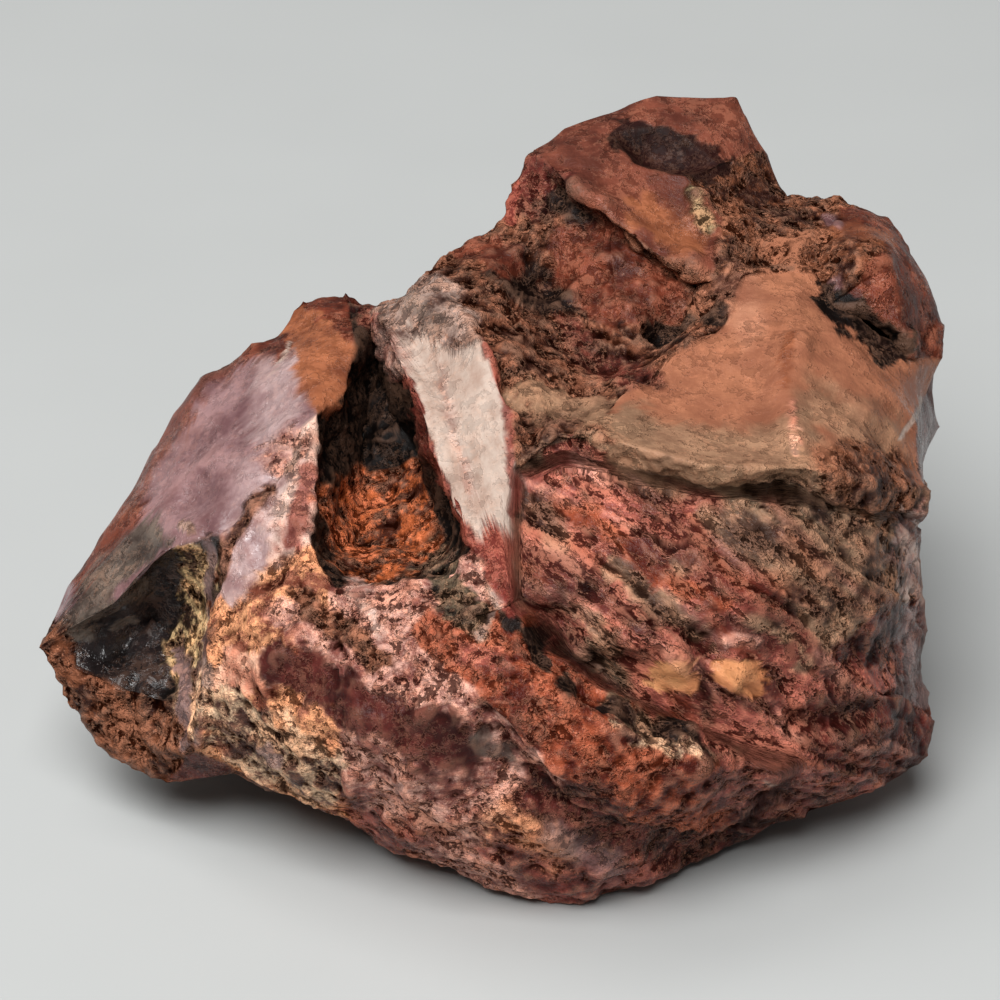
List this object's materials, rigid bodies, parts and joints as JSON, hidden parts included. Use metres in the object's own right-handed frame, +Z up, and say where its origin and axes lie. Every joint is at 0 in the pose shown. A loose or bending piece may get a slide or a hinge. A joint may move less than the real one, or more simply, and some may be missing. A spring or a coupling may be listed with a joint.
{
  "type": "rough jasper",
  "caption": "Rough broken lump of banded red-brown jasper with a deep rusty pocket, a pale vein beside it, a flat-topped ledge and a glassy black scar, resting on a small flat spot.",
  "frame": {"origin": "middle of the stone's plan, on the plane of the flat spot that it rests on", "axes": "+X along the stone's length, from the pointed end with the black scar to the knobbly end; +Z up; the face with the pocket and the ledge looks to -Y and up"},
  "size_m": [0.0512, 0.0422, 0.0325],
  "materials": {
    "jasper": "rough broken stone, waxy on the smooth fracture faces, gritty in the hollows"
  },
  "bodies": {
    "root": {"jasper": "jasper"}
  },
  "joints": []
}
